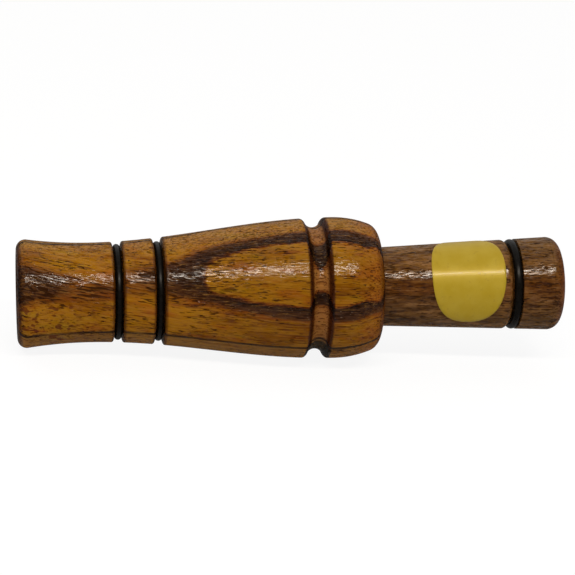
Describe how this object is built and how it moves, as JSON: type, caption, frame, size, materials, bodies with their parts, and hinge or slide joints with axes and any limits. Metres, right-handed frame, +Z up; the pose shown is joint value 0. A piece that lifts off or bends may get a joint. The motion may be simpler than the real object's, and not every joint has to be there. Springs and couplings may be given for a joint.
{
  "type": "duck call",
  "caption": "Turned wooden duck call: a flared barrel with black rings and a lanyard groove, and a pull-out stopper that holds a reed, its sounding board and a wedge.",
  "frame": {"origin": "on the call's axis, half way between the mouth end and the exhaust end", "axes": "+X along the axis towards the exhaust end, -Y towards the viewer of the picture, +Z up as the call lies on its side"},
  "size_m": [0.1396, 0.0362, 0.0362],
  "materials": {
    "barrel_wood": "banded golden-brown hardwood under gloss lacquer",
    "stopper_wood": "walnut under gloss lacquer",
    "black_rubber": "satin black rubber",
    "board_plastic": "black hard plastic, filed smooth",
    "reed_film": "thin cloudy plastic film",
    "cork": "cut cork",
    "label_foil": "plain gold foil sticker"
  },
  "bodies": {
    "barrel": {"barrel": "barrel_wood", "barrel_ring_front": "black_rubber", "barrel_ring_rear": "black_rubber"},
    "ring_carrier": {"stopper_ring": "black_rubber"},
    "stopper": {"stopper": "stopper_wood", "tone_trough": "board_plastic", "wedge": "cork", "label": "label_foil"},
    "reed": {"reed": "reed_film"}
  },
  "joints": [
    {"name": "stopper_pull", "type": "slide", "parent": "barrel", "child": "ring_carrier", "axis": [1, 0, 0], "range_m": [0, 0.062]},
    {"name": "stopper_twist", "type": "hinge", "parent": "ring_carrier", "child": "stopper", "pos_m": [0.0575, 0, 0], "axis": [1, 0, 0], "continuous": true},
    {"name": "reed_flex", "type": "hinge", "parent": "stopper", "child": "reed", "pos_m": [-0.00065, 0, 0.0002], "axis": [0, 1, 0], "range_deg": [-2, 3], "stiffness_Nm_per_rad": 0.011, "deforming": ["reed"]}
  ]
}
